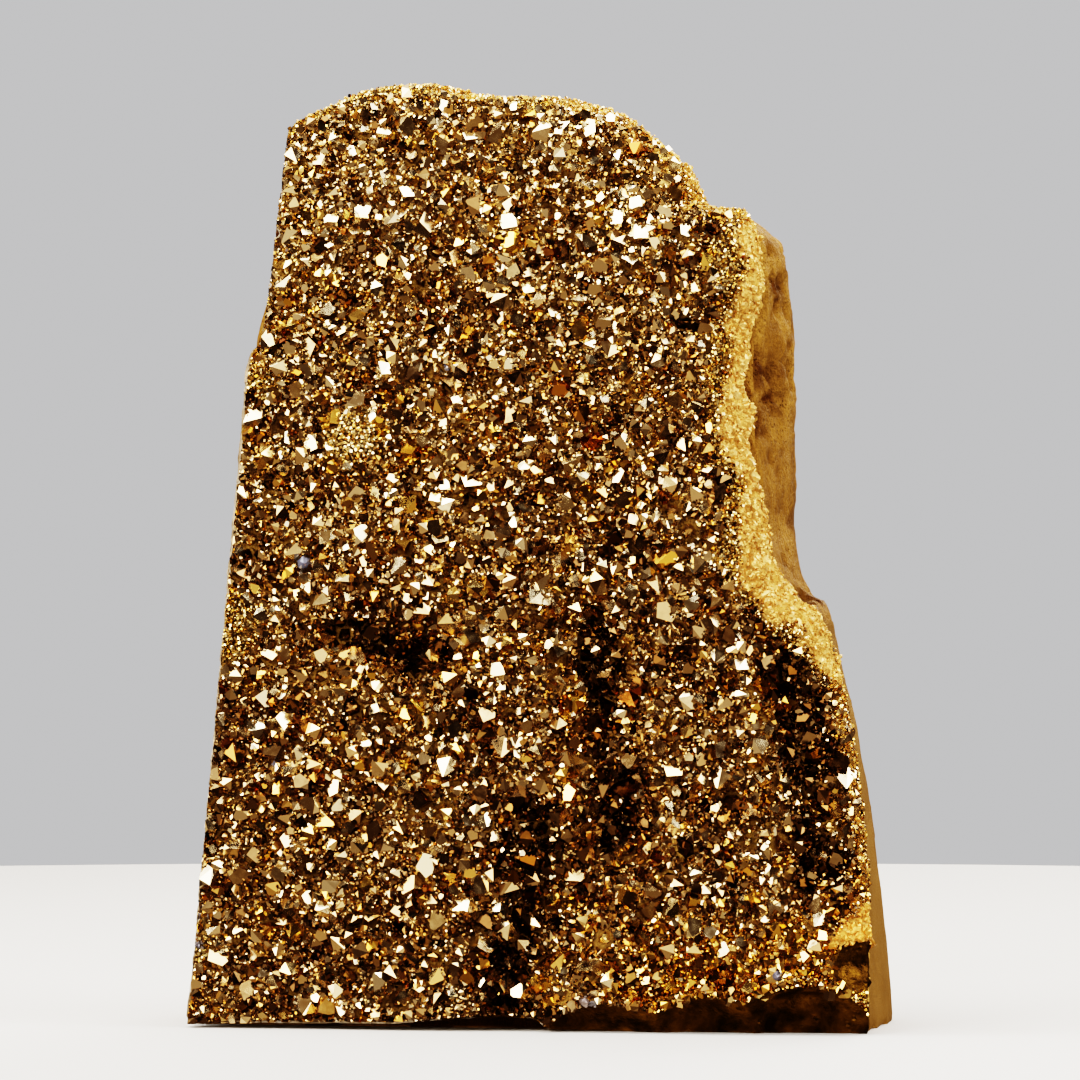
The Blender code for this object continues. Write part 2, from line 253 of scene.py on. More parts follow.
def bedDepth(x, z):
    # how far back the ground lies, in millimetres like x and z
    y = face["front"] + face["lean"] * z / face["height"] + face["twist"] * x
    y += ripple(face["wave"], Vector((x, z, 0.0)))
    y += ripple(face["smallWave"], Vector((x, z, 0.4)))
    for start, end, halfWidth, depth in face["hollows"]:
        y += depth * fade(awayFromLine(x, z, start, end), halfWidth, 1.6)
    _, radius, depth = face["knob"]
    y += depth * fade(fromKnob(x, z), radius, 1.3)
    width, depth = face["rollRight"]
    y += depth * min(max(1 - insideRight(x, z) / width, 0.0), 1.0) ** 2
    width, depth = face["rollTop"]
    y += depth * min(max(1 - belowTop(x, z) / width, 0.0), 1.0) ** 2
    return y


# patterns that several finishes share

def newGroup(name, inputs, outputs):
    group = bpy.data.node_groups.new(name, "ShaderNodeTree")
    for socketName, kind, value in inputs:
        socket = group.interface.new_socket(name=socketName, in_out="INPUT", socket_type=kind)
        socket.default_value = value
    for socketName, kind in outputs:
        group.interface.new_socket(name=socketName, in_out="OUTPUT", socket_type=kind)
    return group, group.nodes.new("NodeGroupInput"), group.nodes.new("NodeGroupOutput")


def addNode(tree, kind, settings=None, inputs=None):
    node = tree.nodes.new(kind)
    for key, value in (settings or {}).items():
        setattr(node, key, value)
    for key, value in (inputs or {}).items():
        if isinstance(value, bpy.types.NodeSocket):
            tree.links.new(value, node.inputs[key])
        else:
            node.inputs[key].default_value = value
    return node


def addRamp(tree, factor, stops):
    ramp = addNode(tree, "ShaderNodeValToRGB", inputs={"Fac": factor})
    elements = ramp.color_ramp.elements
    while len(elements) < len(stops):
        elements.new(0.5)
    for element, (position, colour) in zip(elements, stops):
        element.position = position
        element.color = (*colour, 1.0)
    return ramp.outputs["Color"]


def stoneMottleGroup():
    # Mottle: broad patches, Pits: small hollows with painted shade, Grain: fine roughness, Height: all three
    # as relief
    group, start, end = newGroup(
        "stoneMottle",
        [("Patch Size", "NodeSocketFloat", 8.0), ("Grain Size", "NodeSocketFloat", 0.5)],
        [("Mottle", "NodeSocketFloat"), ("Pits", "NodeSocketFloat"), ("Grain", "NodeSocketFloat"),
         ("Height", "NodeSocketFloat")],
    )
    place = addNode(group, "ShaderNodeTexCoord").outputs["Object"]
    patchScale, grainScale = (
        addNode(group, "ShaderNodeMath", {"operation": "DIVIDE"}, {0: 1 / mm, 1: start.outputs[size]})
        for size in ("Patch Size", "Grain Size")
    )
    patches = addNode(group, "ShaderNodeTexNoise", inputs={
        "Vector": place, "Scale": patchScale.outputs[0],
        "Detail": 7.0, "Roughness": 0.62, "Distortion": 0.4})
    grain = addNode(group, "ShaderNodeTexNoise", inputs={
        "Vector": place, "Scale": grainScale.outputs[0], "Detail": 4.0, "Roughness": 0.6})
    pits = addNode(group, "ShaderNodeTexVoronoi", inputs={
        "Vector": place, "Scale": grainScale.outputs[0], "Randomness": 1.0})
    pitMask = addNode(group, "ShaderNodeMapRange", inputs={
        "Value": pits.outputs["Distance"], "From Min": 0.0, "From Max": 0.32, "To Min": 1.0, "To Max": 0.0})
    sparse = addNode(group, "ShaderNodeMapRange", inputs={
        "Value": patches.outputs["Fac"], "From Min": 0.5, "From Max": 0.62})
    pitsHere = addNode(group, "ShaderNodeMath", {"operation": "MULTIPLY"}, {
        0: pitMask.outputs[0], 1: sparse.outputs[0]})
    relief = addNode(group, "ShaderNodeMath", {"operation": "MULTIPLY_ADD"}, {
        0: grain.outputs["Fac"], 1: 0.5, 2: patches.outputs["Fac"]})
    height = addNode(group, "ShaderNodeMath", {"operation": "SUBTRACT"}, {
        0: relief.outputs[0], 1: pitsHere.outputs[0]})
    for name, node in (("Mottle", patches), ("Pits", pitsHere), ("Grain", grain), ("Height", height)):
        group.links.new(node.outputs[0], end.inputs[name])
    return group


stoneMottle = stoneMottleGroup()


def newMaterial(name, roughness, metallic):
    material = bpy.data.materials.new(name)
    material.use_nodes = True
    shader = material.node_tree.nodes["Principled BSDF"]
    shader.inputs["Roughness"].default_value = roughness
    shader.inputs["Metallic"].default_value = metallic
    return material, material.node_tree, shader


def stoneMaterial(name, recipe):
    material, tree, shader = newMaterial(name, recipe["roughness"], recipe["metallic"])
    shader.inputs["Specular IOR Level"].default_value = recipe["shine"]
    shader.inputs["Specular Tint"].default_value = (*recipe["edgeShine"], 1.0)
    mottle = addNode(tree, "ShaderNodeGroup", {"node_tree": stoneMottle}, {
        "Patch Size": recipe["patch"], "Grain Size": recipe["grain"]})
    base = addRamp(tree, mottle.outputs["Mottle"], recipe["colours"])
    specks = addRamp(tree, mottle.outputs["Grain"], recipe["specks"])
    speckled = addNode(tree, "ShaderNodeMix", {"data_type": "RGBA", "blend_type": "MULTIPLY"}, {
        "Factor": 0.8, "A": base, "B": specks})
    # painted shade: the small pits take a darker colour
    pitShaded = addNode(tree, "ShaderNodeMix", {"data_type": "RGBA"}, {
        "Factor": mottle.outputs["Pits"], "A": speckled.outputs["Result"],
        "B": (*recipe["pitShade"], 1.0)})
    # painted shade: a point attribute darkens the colour by a tint where shade is painted
    paintedShade = addNode(tree, "ShaderNodeAttribute", {"attribute_name": "paintedShade"}).outputs["Fac"]
    shaded = addNode(tree, "ShaderNodeMix", {"data_type": "RGBA", "blend_type": "MULTIPLY"}, {
        "Factor": paintedShade, "A": pitShaded.outputs["Result"], "B": (*recipe["paintedShadeTint"], 1.0)})
    tree.links.new(shaded.outputs["Result"], shader.inputs["Base Color"])
    rough = addNode(tree, "ShaderNodeMapRange", inputs={
        "Value": mottle.outputs["Grain"], "From Min": 0.3, "From Max": 0.7,
        "To Min": recipe["roughness"] - 0.1, "To Max": recipe["roughness"] + 0.12})
    tree.links.new(rough.outputs[0], shader.inputs["Roughness"])
    bump = addNode(tree, "ShaderNodeBump", inputs={
        "Strength": recipe["bump"], "Distance": recipe["deep"] * mm, "Height": mottle.outputs["Height"]})
    tree.links.new(bump.outputs[0], shader.inputs["Normal"])
    return material


def keepPaintedShade(mesh, values):
    # painted shade, stored per point for the finish to darken the colour by
    layer = mesh.attributes.new("paintedShade", "FLOAT", "POINT")
    layer.data.foreach_set("value", np.clip(values, 0.0, 1.0).astype(np.float32))


# host rock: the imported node, remeshed fine, with its natural skin and its sawn sides

rock = {
    "voxel": 0.75, "lump": (7.0, 0.5), "crumb": (1.6, 0.24), "pit": (3.4, 0.9), "pitPatch": 8.0,
    "sawnLeft": ((-50.0, 0.0), (-42.0, 97.0)),
    "sawnShare": 0.12,  # how much of the roughness is left on the sawn right side
    "calm": (78.0, 96.0, 0.5),  # from the second height down to the first the wall loses this share of it
    "underRim": (2.4, 1.0),  # width and depth of the groove behind the crust
    "swells": [
        ((38.0, 116.5), 5.0, 1.0), ((41.6, 60.0), 2.7, 1.1), ((40.0, 80.0), 9.0, -0.7),
        ((38.5, 70.0), 6.0, -0.4),
    ],
    # patches sunk into the right wall, with painted shade in them
    "sunkPatches": [
        ((-5.0, 95.5), (4.5, 2.6)), ((-1.0, 91.0), (3.4, 1.7)), ((-6.0, 88.0), (4.0, 1.8)),
        ((0.0, 108.0), (4.0, 1.5)), ((10.0, 111.0), (3.0, 2.0)), ((-2.0, 62.5), (9.0, 1.6)),
    ],
    "sunkDepth": 1.3,
    # how strong the painted shade gets in the pits, in the groove, on the sunk patches and on the wall's
    # lower part
    "pitShadow": 0.55, "rimShadow": (1.8, 0.8), "sunkShadow": 0.7, "wallShadow": (58.0, 94.0, 0.16),
}
rockFinish = {
    "patch": 6.0, "grain": 0.55, "roughness": 0.6, "metallic": 0.62, "shine": 0.06,
    "bump": 1.0, "deep": 0.9,
    "paintedShadeTint": (0.26, 0.17, 0.11), "edgeShine": (0.93, 0.82, 0.66),
    "colours": [
        (0.34, (0.117, 0.046, 0.007)), (0.47, (0.215, 0.095, 0.0155)), (0.60, (0.31, 0.147, 0.027)),
    ],
    "specks": [(0.36, (0.55, 0.5, 0.42)), (0.55, (1.0, 1.0, 1.0))],
    "pitShade": (0.10, 0.045, 0.012),
}
sawnFinish = dict(
    rockFinish, patch=14.0, grain=0.4, roughness=0.52, bump=0.4, deep=0.4,
    colours=[(0.30, (0.14, 0.061, 0.012)), (0.50, (0.195, 0.091, 0.019)), (0.70, (0.25, 0.122, 0.028))],
    specks=[(0.30, (0.8, 0.77, 0.7)), (0.5, (1.0, 1.0, 1.0))],
)


def outsideLeftSaw(x, z):
    (x0, z0), (x1, z1) = rock["sawnLeft"]
    length = math.hypot(x1 - x0, z1 - z0)
    return ((z1 - z0) * (x0 - x) + (x1 - x0) * (z - z0)) / length


def makeRock():
    piece = copyOfNode("matrix", "hostRock")
    remesh(piece, rock["voxel"] * mm)
    mesh = piece.data
    places = vertexPlaces(mesh)
    normals = vertexNormals(mesh)
    front = [i for i, n in enumerate(normals) if n[1] < -0.8 and places[i][2] > 2]
    rim = KDTree(len(front))
    for i in front:
        rim.insert(places[i].tolist(), i)
    rim.balance()
    paintedShade = np.zeros(len(places))
    for i, (place, normal) in enumerate(zip(places.tolist(), normals.tolist())):
        x, y, z = place
        hidden = normal[1] < -0.6
        # painted shadow: the rock's foot under the crust's front is darkened fully
        if hidden and z < 2.6:
            paintedShade[i] = 1.0
        onSaw = z < 0.6 and normal[2] < -0.5 or outsideLeftSaw(x, z) > -0.5 and normal[0] < -0.5
        if hidden or onSaw:
            continue
        here = Vector(place)
        onRight = smoothStep((x - 40) / 4)
        share = 1 - (1 - rock["sawnShare"]) * onRight * smoothStep((normal[0] - 0.5) / 0.3)
        lowWall, highWall, calming = rock["calm"]
        onWall = smoothStep((normal[0] - 0.3) / 0.4)
        calm = share * (1 - calming * smoothStep((highWall - z) / (highWall - lowWall)) * onWall)
        size, height = rock["lump"]
        move = height * (noise.noise(here / size) - 0.5)
        size, height = rock["crumb"]
        move += height * noise.noise(here / size) + 0.5 * height * noise.noise(here / (0.5 * size))
        size, height = rock["pit"]
        patch = smoothStep(noise.noise(here / rock["pitPatch"]) * 3 + 0.3)
        pit = patch * smoothStep(1.3 - 2.2 * noise.voronoi(here / size)[0][0])
        move -= height * pit
        fromRim = rim.find(here)[2]
        if normal[0] > -0.2:
            width, depth = rock["underRim"]
            move -= depth * fade(fromRim, width, 1.15)
        sunkPatch = 0.0
        if normal[0] > 0.3:
            for (my, mz), (deep, tall) in rock["sunkPatches"]:
                sunkPatch = max(sunkPatch, fade(math.hypot((y - my) / deep, (z - mz) / tall), 1.0))
        swell = 0.0
        for (mx, mz), radius, height in rock["swells"]:
            swell += height * fade(math.hypot(x - mx, z - mz), radius)
        places[i] += np.array(normal) * (move * calm + swell * share)
        eaten = smoothStep(0.4 + 2 * noise.noise(here / 2.2))
        places[i] -= np.array(normal) * rock["sunkDepth"] * sunkPatch * eaten
        # painted shade in the pits, along the crust's rim, in the sunk patches and on the wall's lower part
        width, shadow = rock["rimShadow"]
        paintedShade[i] = share * (rock["pitShadow"] * pit + shadow * fade(fromRim, width, 1.1))
        paintedShade[i] += sunkPatch * (rock["sunkShadow"] + noise.noise(here / 1.6))
        low, high, shadow = rock["wallShadow"]
        toRight = smoothStep(normal[0] * 2)
        paintedShade[i] += shadow * smoothStep((high - z) / 8) * smoothStep((z - low) / 4) * toRight
    setPlaces(mesh, places)
    keepPaintedShade(mesh, paintedShade)
    mesh.materials.append(stoneMaterial("goldDustedRock", rockFinish))
    mesh.materials.append(stoneMaterial("sawnRock", sawnFinish))
    for polygon in mesh.polygons:
        x, _, z = (v / mm for v in polygon.center)
        normal = polygon.normal
        rightSaw = normal.x > 0.8 and x > 42 and z < 59
        leftSaw = normal.x < -0.8 and outsideLeftSaw(x, z) > -0.8
        baseSaw = normal.z < -0.9 and z < 0.5
        polygon.material_index = int(rightSaw or leftSaw or baseSaw)
    selectOnly(piece)
    bpy.ops.object.shade_smooth()
    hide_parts("matrix")
    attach(piece, "root")
    return piece


hostRock = makeRock()
print("host rock made", len(hostRock.data.polygons))


# quartz bed: the crust without its points, with its lumpy rim and its chipped lower edge

bed = {
    "voxel": 0.7, "weld": 0.12, "sharpFrom": 50.0,
    "grain": (1.1, 0.14), "rimLump": (2.8, 0.75), "rimCrumb": (1.0, 0.25),
    "band": (6.5, 3.0),  # its width along the right and along the top
    "bandLump": (3.0, 1.3), "knobLump": (1.3, 0.8),
    "chips": [
        ((12.5, -24.0, -0.5), (12.0, 7.6, 5.4)),
        ((27.0, -23.5, -0.8), (11.0, 7.4, 6.4)),
        ((42.5, -23.0, 0.0), (13.0, 7.6, 7.0)),
        ((51.5, -21.5, 9.8), (6.4, 6.4, 4.6)),
    ],
}
bedFinish = {
    "patch": 9.0, "grain": 0.35, "roughness": 0.38, "metallic": 0.85, "shine": 0.2,
    "bump": 0.8, "deep": 0.4,
    "paintedShadeTint": (0.4, 0.3, 0.2), "edgeShine": (0.9, 0.7, 0.5),
    "colours": [(0.35, (0.05, 0.021, 0.004)), (0.5, (0.12, 0.056, 0.01)), (0.65, (0.22, 0.11, 0.022))],
    "specks": [(0.35, (0.25, 0.2, 0.15)), (0.6, (1.0, 1.0, 1.0))],
    "pitShade": (0.04, 0.018, 0.006),
}
rimFinish = {
    "patch": 3.0, "grain": 0.7, "roughness": 0.46, "metallic": 0.7, "shine": 0.2, "bump": 1.0, "deep": 1.0,
    "paintedShadeTint": (0.55, 0.42, 0.25), "edgeShine": (0.9, 0.7, 0.45),
    "colours": [(0.34, (0.40, 0.18, 0.03)), (0.5, (0.66, 0.34, 0.072)), (0.66, (0.90, 0.55, 0.16))],
    "specks": [(0.34, (0.5, 0.42, 0.3)), (0.52, (1.0, 1.0, 1.0))],
    "pitShade": (0.22, 0.11, 0.03),
}
chipFinish = {
    "patch": 4.0, "grain": 1.6, "roughness": 0.36, "metallic": 0.95, "shine": 0.1, "bump": 0.8, "deep": 0.7,
    "paintedShadeTint": (0.6, 0.5, 0.4), "edgeShine": (0.8, 0.6, 0.4),
    "colours": [(0.38, (0.016, 0.006, 0.0008)), (0.5, (0.06, 0.024, 0.003)), (0.66, (0.16, 0.068, 0.008))],
    "specks": [(0.3, (0.6, 0.55, 0.5)), (0.6, (1.0, 1.0, 1.0))],
    "pitShade": (0.015, 0.006, 0.003),
}
sawnQuartzFinish = {
    "patch": 5.0, "grain": 0.6, "roughness": 0.42, "metallic": 0.2, "shine": 0.4, "bump": 0.3, "deep": 0.4,
    "paintedShadeTint": (0.6, 0.55, 0.5), "edgeShine": (1.0, 0.95, 0.9),
    "colours": [(0.35, (0.18, 0.11, 0.05)), (0.5, (0.30, 0.22, 0.13)), (0.66, (0.44, 0.38, 0.31))],
    "specks": [(0.34, (0.6, 0.55, 0.5)), (0.55, (1.0, 1.0, 1.0))],
    "pitShade": (0.10, 0.06, 0.03),
}
bedMaterials = (
    ("goldBed", bedFinish), ("goldRim", rimFinish), ("glassyChip", chipFinish),
    ("sawnQuartz", sawnQuartzFinish),
)
rimSlot, chipSlot, sawnSlot = 1, 2, 3  # where three of them stand in the piece


def onChip(place, normal):
    for middle, radii in bed["chips"]:
        out = [(p - m) / r for p, m, r in zip(place, middle, radii)]
        if math.hypot(*out) < 1.16 and sum(a * b for a, b in zip(out, normal)) < -0.2:
            return True
    return False


def makeBed():
    piece = copyOfNode("crystal_crust", "quartzBed")
    remesh(piece, bed["voxel"] * mm)
    mesh = piece.data
    places = vertexPlaces(mesh)
    normals = vertexNormals(mesh)
    for i, (place, normal) in enumerate(zip(places.tolist(), normals.tolist())):
        x, y, z = place
        here = Vector(place)
        ground = bedDepth(x, z)
        if y < ground + 0.5 and not onChip(place, normal):
            y = ground + ripple(bed["grain"], here)
            rightBand, topBand = bed["band"]
            band = fade(insideRight(x, z), rightBand, 1.6) + fade(belowTop(x, z), topBand, 1.4)
            size, height = bed["bandLump"]
            flat = Vector((x, 0.0, z))
            y -= height * min(band, 1.0) * (0.62 - noise.voronoi(flat / size)[0][0])
            knob = fade(fromKnob(x, z), face["knob"][1], 1.3)
            size, height = bed["knobLump"]
            y -= height * knob * (0.6 - noise.voronoi(flat / size)[0][0])
            places[i][1] = y
        elif abs(normal[1]) < 0.6 and normal[0] > -0.5 and z > 2.5 and not onChip(place, normal):
            size, height = bed["rimLump"]
            bold = 0.7 if belowTop(x, z) < 3 else 1.6
            move = height * (0.55 - noise.voronoi(here / size)[0][0]) * bold
            move += ripple(bed["rimCrumb"], here)
            places[i] += np.array((normal[0], 0.0, normal[2])) * move
    setPlaces(mesh, places)
    weld(piece, bed["weld"] * mm)
    for name, finish in bedMaterials:
        mesh.materials.append(stoneMaterial(name, finish))
    for polygon in mesh.polygons:
        x, y, z = (v / mm for v in polygon.center)
        normal = polygon.normal
        foot = footEdge(x)
        sawn = normal.x < -0.7 or normal.z < -0.8 or outsideLeftSaw(x, z) > -0.75
        if onChip((x, y, z), normal) or z < 4.5 and x > 44:
            polygon.material_index = chipSlot
        elif sawn or z < foot + 0.5 and x < -15.5:
            polygon.material_index = sawnSlot
        elif z < foot + 0.8 and x < 3:
            polygon.material_index = chipSlot
        elif abs(normal.y) < 0.6 or insideRight(x, z) < rindAt(x, z) + 0.6:
            polygon.material_index = rimSlot
    selectOnly(piece)
    bpy.ops.object.shade_smooth_by_angle(angle=math.radians(bed["sharpFrom"]))
    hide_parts("crystal_crust")
    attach(piece, "root")
    return piece


quartzBed = makeBed()
print("quartz bed made", len(quartzBed.data.polygons))


# quartz points: a few are cut one by one, then set by the thousand in joined meshes

pointShapes = {
    "count": 12, "grains": 5, "faceTilt": 51.8, "slimness": (0.8, 1.25),
    "facetTone": 0.14,  # how far the facets of one crystal differ
    "sawStrip": 0.6, "sideGap": 0.2,  # how far inside the saw and the outline they end
}


def cutPoint(number):
    # a six-sided prism, cut to a tip by three large and three small slanted faces
    dice = random.Random(100 + number)
    bpy.ops.object.select_all(action="DESELECT")
    bpy.ops.mesh.primitive_cylinder_add(vertices=6, radius=1.0, depth=4.0, location=(0, 0, 0))
    piece = bpy.context.object
    sides = [p.normal.copy() for p in piece.data.polygons if abs(p.normal.z) < 0.5]
    sides.sort(key=lambda n: math.atan2(n.y, n.x))
    tilt = math.radians(pointShapes["faceTilt"])
    bpy.ops.object.mode_set(mode="EDIT")
    for k, side in enumerate(sides):
        lesser = dice.uniform(-0.1, 0.15) if number % 3 else dice.uniform(0.25, 0.7)
        lift = dice.uniform(-0.12, 0.12) if k % 2 else lesser
        slant = Vector((side.x * math.sin(tilt), side.y * math.sin(tilt), math.cos(tilt)))
        bpy.ops.mesh.select_all(action="SELECT")
        bpy.ops.mesh.bisect(
            plane_co=(0, 0, 1.1 + lift), plane_no=slant,
            use_fill=True, clear_outer=True, threshold=0.0001,
        )
    bpy.ops.object.mode_set(mode="OBJECT")
    wide = dice.uniform(*pointShapes["slimness"])
    return shapeOf(piece, (wide, 1 / wide, 1.0))


def cutGrain(number):
    # the smallest crystals show three faces only, like a cube that stands on its corner
    dice = random.Random(200 + number)
    bpy.ops.object.select_all(action="DESELECT")
    lean = (math.radians(45), math.atan(1 / math.sqrt(2)), 0)
    bpy.ops.mesh.primitive_cube_add(size=1.25, location=(0, 0, 0), rotation=lean)
    bpy.ops.object.transform_apply(location=True, rotation=True, scale=True)
    wide = dice.uniform(*pointShapes["slimness"])
    return shapeOf(bpy.context.object, (wide, 1 / wide, dice.uniform(0.85, 1.15)))


def shapeOf(piece, stretch):
    verts = np.array([v.co[:] for v in piece.data.vertices]) * stretch
    faces = [tuple(p.vertices) for p in piece.data.polygons]
    bpy.data.objects.remove(piece)
    return verts, faces


pointKinds = [cutPoint(number) for number in range(pointShapes["count"])]
grainKinds = [cutGrain(number) for number in range(pointShapes["grains"])]
print("points cut", [len(faces) for _, faces in pointKinds])


def framesOf(axes, rolls):
    # three unit axes for each point: its own axis, and two across it turned by its roll
    axes = axes / np.linalg.norm(axes, axis=1, keepdims=True)
    helper = np.where(np.abs(axes[:, 2:3]) < 0.9, [[0.0, 0.0, 1.0]], [[1.0, 0.0, 0.0]])
    first = np.cross(helper, axes)
    first /= np.linalg.norm(first, axis=1, keepdims=True)
    second = np.cross(axes, first)
    cosine, sine = np.cos(rolls)[:, None], np.sin(rolls)[:, None]
    return first * cosine + second * sine, second * cosine - first * sine, axes


def joinPoints(pieceName, seeds, shapes, material, seed):
    # a seed row: place, axis, roll, radius, stretch, tone, ember, bare
    dice = np.random.default_rng(seed)
    rows = np.array(seeds)
    spread = pointShapes["facetTone"]
    kinds = dice.integers(0, len(shapes), len(rows))
    allVerts, loopVerts, loopTotals, tones, embers, bares = [], [], [], [], [], []
    offset = 0
    for kind, (verts, faces) in enumerate(shapes):
        mine = rows[kinds == kind]
        if not len(mine):
            continue
        across, along, axis = framesOf(mine[:, 3:6], mine[:, 6])
        radius, stretch = mine[:, 7], mine[:, 8]
        x = verts[None, :, 0:1] * across[:, None, :]
        y = verts[None, :, 1:2] * along[:, None, :]
        z = verts[None, :, 2:3] * axis[:, None, :] * stretch[:, None, None]
        placed = (x + y + z) * radius[:, None, None] + mine[:, None, 0:3]
        allVerts.append(placed.reshape(-1, 3))
        pattern = np.concatenate([np.array(f) for f in faces])
        starts = offset + np.arange(len(mine)) * len(verts)
        loopVerts.append((starts[:, None] + pattern[None, :]).ravel())
        loopTotals.append(np.tile([len(f) for f in faces], len(mine)))
        facet = dice.uniform(-spread, spread, (len(mine), len(faces)))
        tones.append((mine[:, 9:10] + facet).ravel())
        embers.append(np.repeat(mine[:, 10], len(faces)))
        bares.append(np.repeat(mine[:, 11], len(faces)))
        offset += len(mine) * len(verts)
    allVerts = np.concatenate(allVerts)
    keepInside(allVerts)
    loopVerts, loopTotals = np.concatenate(loopVerts), np.concatenate(loopTotals)
    mesh = bpy.data.meshes.new(pieceName)
    mesh.vertices.add(len(allVerts))
    mesh.vertices.foreach_set("co", (allVerts * mm).astype(np.float32).ravel())
    mesh.loops.add(len(loopVerts))
    mesh.loops.foreach_set("vertex_index", loopVerts.astype(np.int32))
    loopStarts = np.concatenate([[0], np.cumsum(loopTotals)[:-1]])
    mesh.polygons.add(len(loopTotals))
    mesh.polygons.foreach_set("loop_start", loopStarts.astype(np.int32))
    mesh.update(calc_edges=True)
    for name, values in (("tone", tones), ("ember", embers), ("bare", bares)):
        layer = mesh.attributes.new(name, "FLOAT", "FACE")
        layer.data.foreach_set("value", np.concatenate(values).astype(np.float32))
    mesh.shade_flat()
    mesh.materials.append(material)
    piece = bpy.data.objects.new(pieceName, mesh)
    bpy.context.collection.objects.link(piece)
    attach(piece, "root")
    print(pieceName, "points", len(rows), "triangles", int((loopTotals - 2).sum()))


def keepInside(verts):
    # the saw went through the points too: they end at a thin cut strip along the left side and the foot
    (x0, z0), (x1, z1) = rock["sawnLeft"]
    length = math.hypot(x1 - x0, z1 - z0)
    past = ((z1 - z0) * (x0 - verts[:, 0]) + (x1 - x0) * (verts[:, 2] - z0)) / length
    strip = pointShapes["sawStrip"]
    past = np.maximum(past + strip, 0.0)
    verts[:, 0] += past * (z1 - z0) / length
    verts[:, 2] -= past * (x1 - x0) / length
    side = edgePoints[:sideCount]
    low = verts[:, 2] < side[-1, 1]
    outline = np.interp(verts[low, 2], side[:, 1], side[:, 0])
    verts[low, 0] = np.maximum(verts[low, 0], outline + pointShapes["sideGap"])
    verts[:, 2] = np.maximum(verts[:, 2], footEdge(verts[:, 0]) + 0.4 * strip)


# where the face gets painted shade along its hollows, is finely grained or is left without its coating
regions = {
    "shadowLines": [
        ((-28.0, 57.4), (-14.0, 54.2), 2.0, 0.92), ((11.0, 56.0), (14.0, 28.0), 3.0, 0.74),
        ((2.0, 32.0), (-3.0, 4.0), 2.8, 0.74), ((39.0, 52.0), (43.0, 24.0), 3.0, 0.74),
    ],
    "shadowRagged": (5.0, 0.7),
    "sugar": [
        ((-25.5, 86.0), 4.0), ((-44.5, 58.0), 5.5), ((-40.0, 94.0), 2.8), ((-38.0, 119.0), 2.6),
        ((-40.0, 106.0), 2.2), ((-48.5, 12.0), 3.0), ((27.4, 101.0), 1.9),
    ],
    "fineRim": [(48.0, 1.6), (52.0, 2.8), (64.0, 2.8), (68.0, 3.6), (117.0, 3.6), (119.0, 2.0)],
    "fineTop": 1.6, "fineRagged": (5.0, 1.6),
    "uncoated": [
        (9.4, 9.2, 0.8), (10.0, 4.6, 0.9), (37.4, 8.6, 0.7), (-36.8, 38.6, 0.7), (-47.0, 16.0, 0.8),
        (-47.6, 12.0, 0.6), (-33.0, 67.5, 0.6), (-36.0, 114.0, 0.7), (-12.0, 96.0, 0.5),
    ],
}


def shadowAt(x, z):
    shade = 0.0
    ragged = ripple(regions["shadowRagged"], Vector((x, 7.0, z)))
    for start, end, width, depth in regions["shadowLines"]:
        shade = max(shade, depth * fade(awayFromLine(x, z, start, end), width, 1.6 + ragged))
    return shade


def sugarAt(x, z):
    return max(fade(math.hypot(x - mx, z - mz), radius) for (mx, mz), radius in regions["sugar"])


def fineAt(x, z):
    # 1 where the crystals stay tiny: along the right rim, the top and the sugar patches
    ragged = ripple(regions["fineRagged"], Vector((x, 3.0, z)))
    width = float(np.interp(z, *zip(*regions["fineRim"])))
    rim = fade(insideRight(x, z) - rindAt(x, z) + ragged, width)
    top = fade(belowTop(x, z) + ragged, regions["fineTop"])
    return max(rim, top, sugarAt(x, z))


packing = {
    "corner": (-51.0, 0.2), "board": (103.0, 138.5), "cell": 0.12, "cellsPerLook": 4,
    "overlap": 0.63, "sweeps": 5, "tries": 5, "seed": 21,
    # kind, smallest and largest radius, count, lean
    "classes": [
        ("coarse", (1.35, 2.25), 800, 0.33), ("coarse", (0.85, 1.35), 2400, 0.36),
        ("middling", (0.45, 0.85), 6600, 0.42), ("small", (0.22, 0.45), 16000, 0.5),
        ("sugar", (0.18, 0.38), 15000, 0.55),
    ],
    "topShrink": 0.13, "sizePatch": (16.0, 0.2),
    # how far each keeps from the edges, in its own radii
    "keepLeft": 0.85, "keepTop": 1.25, "keepFoot": 1.2, "keepRind": 0.9, "bigLeft": 0.6, "bigFoot": 0.8,
    "keepChip": 0.6, "bigChip": 1.3,
}


def discOf(cells):
    reach = np.arange(-cells, cells + 1)
    return (reach[:, None] ** 2 + reach[None, :] ** 2) <= (cells + 0.3) ** 2


def offLimits(x, z, radius):
    # big crystals keep clear of the outline, the foot and the rind, so that none of them hangs in the air
    upperLeft = z > 90 and insideLeft(x, z) < packing["keepLeft"] * radius
    if upperLeft or belowTop(x, z) < packing["keepTop"] * radius - 0.3:
        return True
    if radius < 0.6:
        return False
    overFoot = z - footEdge(x)
    if -15 < x < 5 and overFoot < packing["keepFoot"] * radius:
        return True
    if insideRight(x, z) - rindAt(x, z) < packing["keepRind"] * radius:
        return True
    overhang = insideLeft(x, z) < packing["bigLeft"] * radius or overFoot < packing["bigFoot"] * radius
    return radius > 1.0 and overhang


def overChip(x, z, radius):
    margin = radius * packing["bigChip" if radius > 1.0 else "keepChip"]
    for (mx, my, mz), (rx, ry, rz) in bed["chips"]:
        depth = (bedDepth(x, z) - my) / ry
        if math.hypot((x - mx) / (rx + margin), depth, (z - mz) / (rz + margin)) < 1.03:
            return True
    return False


